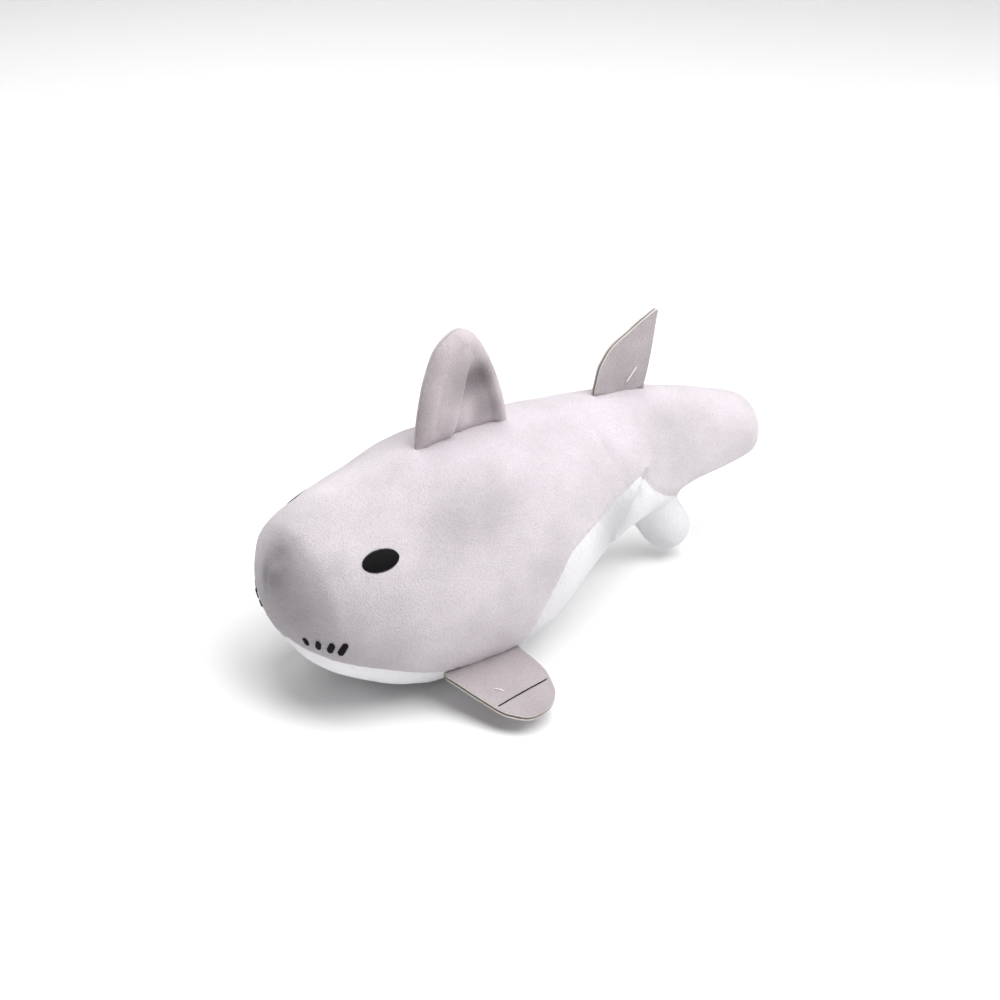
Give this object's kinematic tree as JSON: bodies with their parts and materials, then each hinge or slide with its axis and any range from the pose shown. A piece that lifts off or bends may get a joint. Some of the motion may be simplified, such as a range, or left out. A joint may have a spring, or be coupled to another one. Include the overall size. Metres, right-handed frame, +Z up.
{
  "type": "stuffed toy shark",
  "caption": "Soft stuffed toy shark in pale grey plush with a white belly, a padded back fin, flat side and rear fins, and an embroidered face.",
  "frame": {"origin": "centre of the bounding box in plan, at the flat underside of the belly", "axes": "+Z up, nose towards -Y, +X to the shark's own left"},
  "size_m": [0.245, 0.4, 0.2244],
  "materials": {
    "grey_plush": "short pile plush",
    "white_plush": "short pile plush",
    "fin_plush": "short pile plush",
    "black_thread": "satin stitch thread",
    "fibre_fill": "loose polyester fibre"
  },
  "bodies": {
    "body": {"body_stuffing": "fibre_fill", "side_panel_left": "grey_plush", "side_panel_right": "grey_plush", "belly_panel": "white_plush", "eye_left": "black_thread", "eye_right": "black_thread", "mouth_stitch_left_1": "black_thread", "mouth_stitch_right_1": "black_thread", "mouth_stitch_left_2": "black_thread", "mouth_stitch_right_2": "black_thread", "mouth_stitch_left_3": "black_thread", "mouth_stitch_right_3": "black_thread", "mouth_stitch_left_4": "black_thread", "mouth_stitch_right_4": "black_thread"},
    "tail": {"tail_stuffing": "fibre_fill", "tail_panel_left": "grey_plush", "tail_panel_right": "grey_plush", "tail_lobe_left": "white_plush", "tail_lobe_right": "white_plush"},
    "dorsal_fin": {"dorsal_panel_left": "fin_plush", "dorsal_panel_right": "fin_plush", "dorsal_wadding": "fibre_fill"},
    "rear_fin": {"rear_fin_panel_left": "fin_plush", "rear_fin_panel_right": "fin_plush"},
    "side_fin_left": {"side_fin_left_top": "fin_plush", "side_fin_left_bottom": "fin_plush", "side_fin_left_thread": "black_thread"},
    "side_fin_right": {"side_fin_right_top": "fin_plush", "side_fin_right_bottom": "fin_plush", "side_fin_right_thread": "black_thread"}
  },
  "joints": [
    {"name": "tail_sway", "type": "hinge", "parent": "body", "child": "tail", "pos_m": [0, 0.07, 0.09], "axis": [0, 0, 1], "range_deg": [-15, 15], "stiffness_Nm_per_rad": 0.6},
    {"name": "dorsal_fin_lean", "type": "hinge", "parent": "body", "child": "dorsal_fin", "pos_m": [0, -0.0519, 0.1622], "axis": [0, 1, 0], "range_deg": [-35, 35], "stiffness_Nm_per_rad": 0.06},
    {"name": "rear_fin_lean", "type": "hinge", "parent": "tail", "child": "rear_fin", "pos_m": [0, 0.056, 0.15074], "axis": [0, 0.9916, -0.1296], "range_deg": [-45, 45], "stiffness_Nm_per_rad": 0.02},
    {"name": "side_fin_left_flap", "type": "hinge", "parent": "body", "child": "side_fin_left", "pos_m": [0.06849, -0.1148, 0.02418], "axis": [-0.0452, -0.999, 0], "range_deg": [-8, 50], "stiffness_Nm_per_rad": 0.03},
    {"name": "side_fin_right_flap", "type": "hinge", "parent": "body", "child": "side_fin_right", "pos_m": [-0.06849, -0.1148, 0.02418], "axis": [-0.0452, 0.999, 0], "range_deg": [-8, 50], "stiffness_Nm_per_rad": 0.03}
  ]
}
